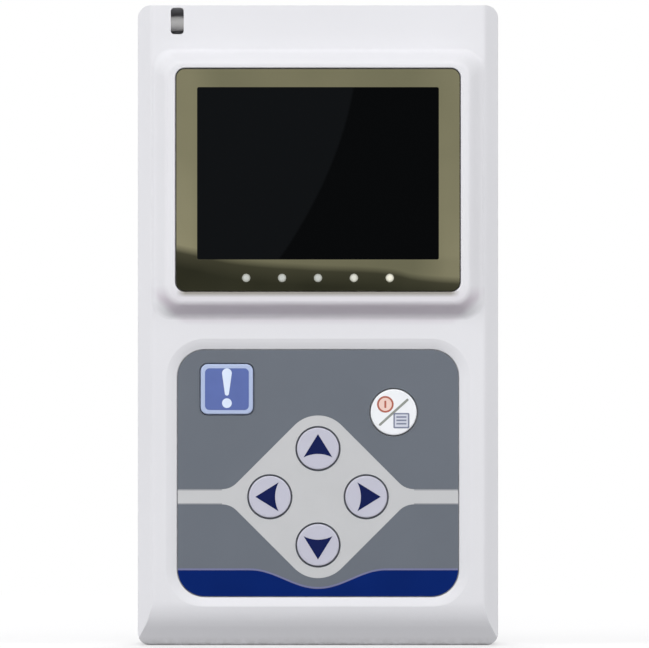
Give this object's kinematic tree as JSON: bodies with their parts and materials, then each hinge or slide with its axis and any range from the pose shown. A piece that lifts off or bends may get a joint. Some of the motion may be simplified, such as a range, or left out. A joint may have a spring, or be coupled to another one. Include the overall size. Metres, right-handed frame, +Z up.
{
  "type": "holter monitor",
  "caption": "Hand-held Holter heart recorder with a screen in a raised frame, a recessed keypad with arrow, mark and power keys, a lead socket and a battery door.",
  "frame": {"origin": "middle of the bottom end, half way through the depth", "axes": "+Z up along the case's length, +X to the right as seen from the front, +Y towards the back"},
  "size_m": [0.061, 0.024, 0.1083],
  "materials": {
    "case_white": "fine satin moulding",
    "plate_foil": "satin",
    "lens_window": "polished",
    "adhesive_black": "matt",
    "screen_black": "polished",
    "holder_black": "matt",
    "ribbon_amber": "satin",
    "connector_ivory": "satin",
    "light_clear": "polished",
    "emitter_white": "polished",
    "overlay_grey": "printed film",
    "arrow_key_pale": "printed film",
    "mark_key_blue": "printed film",
    "power_key_white": "printed film",
    "plunger_ivory": "satin",
    "switch_black": "satin",
    "board_green": "solder mask",
    "chip_black": "matt",
    "cell_steel": "brushed",
    "socket_black": "satin",
    "contact_gold": "plated",
    "socket_steel": "plated",
    "cell_jacket": "printed sleeve",
    "contact_nickel": "plated",
    "screw_steel": "plated",
    "pin_steel": "turned"
  },
  "bodies": {
    "root": {"front_case": "case_white", "rear_case": "case_white", "rating_plate": "plate_foil", "display_lens": "lens_window", "lens_adhesive": "adhesive_black", "screen": "screen_black", "screen_holder": "holder_black", "screen_ribbon": "ribbon_amber", "ribbon_connector": "connector_ivory", "light_guide": "light_clear", "lamp_emitters": "emitter_white", "keypad_overlay": "overlay_grey", "switch_housings": "switch_black", "main_board": "board_green", "board_chips": "chip_black", "sounder": "chip_black", "coin_cell_holder": "connector_ivory", "coin_cell": "cell_steel", "lead_socket_housing": "socket_black", "lead_socket_pins": "contact_gold", "data_socket_shell": "socket_steel", "data_socket_insert": "socket_black", "data_socket_contacts": "contact_gold", "battery_1": "cell_jacket", "battery_2": "cell_jacket", "battery_contacts": "contact_nickel", "battery_springs": "contact_nickel", "case_screws": "screw_steel", "board_screws": "screw_steel", "lanyard_pin": "pin_steel"},
    "up_key": {"up_key": "arrow_key_pale", "up_key_plunger": "plunger_ivory"},
    "down_key": {"down_key": "arrow_key_pale", "down_key_plunger": "plunger_ivory"},
    "left_key": {"left_key": "arrow_key_pale", "left_key_plunger": "plunger_ivory"},
    "right_key": {"right_key": "arrow_key_pale", "right_key_plunger": "plunger_ivory"},
    "mark_key": {"mark_key": "mark_key_blue", "mark_key_plunger": "plunger_ivory"},
    "power_menu_key": {"power_menu_key": "power_key_white", "power_menu_key_plunger": "plunger_ivory"},
    "battery_door": {"battery_door": "case_white"}
  },
  "joints": [
    {"name": "up_key_press", "type": "slide", "parent": "root", "child": "up_key", "axis": [0, 1, 0], "range_m": [0, 0.0004], "stiffness_N_per_m": 1500},
    {"name": "down_key_press", "type": "slide", "parent": "root", "child": "down_key", "axis": [0, 1, 0], "range_m": [0, 0.0004], "stiffness_N_per_m": 1500},
    {"name": "left_key_press", "type": "slide", "parent": "root", "child": "left_key", "axis": [0, 1, 0], "range_m": [0, 0.0004], "stiffness_N_per_m": 1500},
    {"name": "right_key_press", "type": "slide", "parent": "root", "child": "right_key", "axis": [0, 1, 0], "range_m": [0, 0.0004], "stiffness_N_per_m": 1500},
    {"name": "mark_key_press", "type": "slide", "parent": "root", "child": "mark_key", "axis": [0, 1, 0], "range_m": [0, 0.0004], "stiffness_N_per_m": 1500},
    {"name": "power_menu_key_press", "type": "slide", "parent": "root", "child": "power_menu_key", "axis": [0, 1, 0], "range_m": [0, 0.0004], "stiffness_N_per_m": 1500},
    {"name": "battery_door_hinge", "type": "hinge", "parent": "root", "child": "battery_door", "pos_m": [0, 0.012, 0.006], "axis": [-1, 0, 0], "range_deg": [0, 75]}
  ]
}
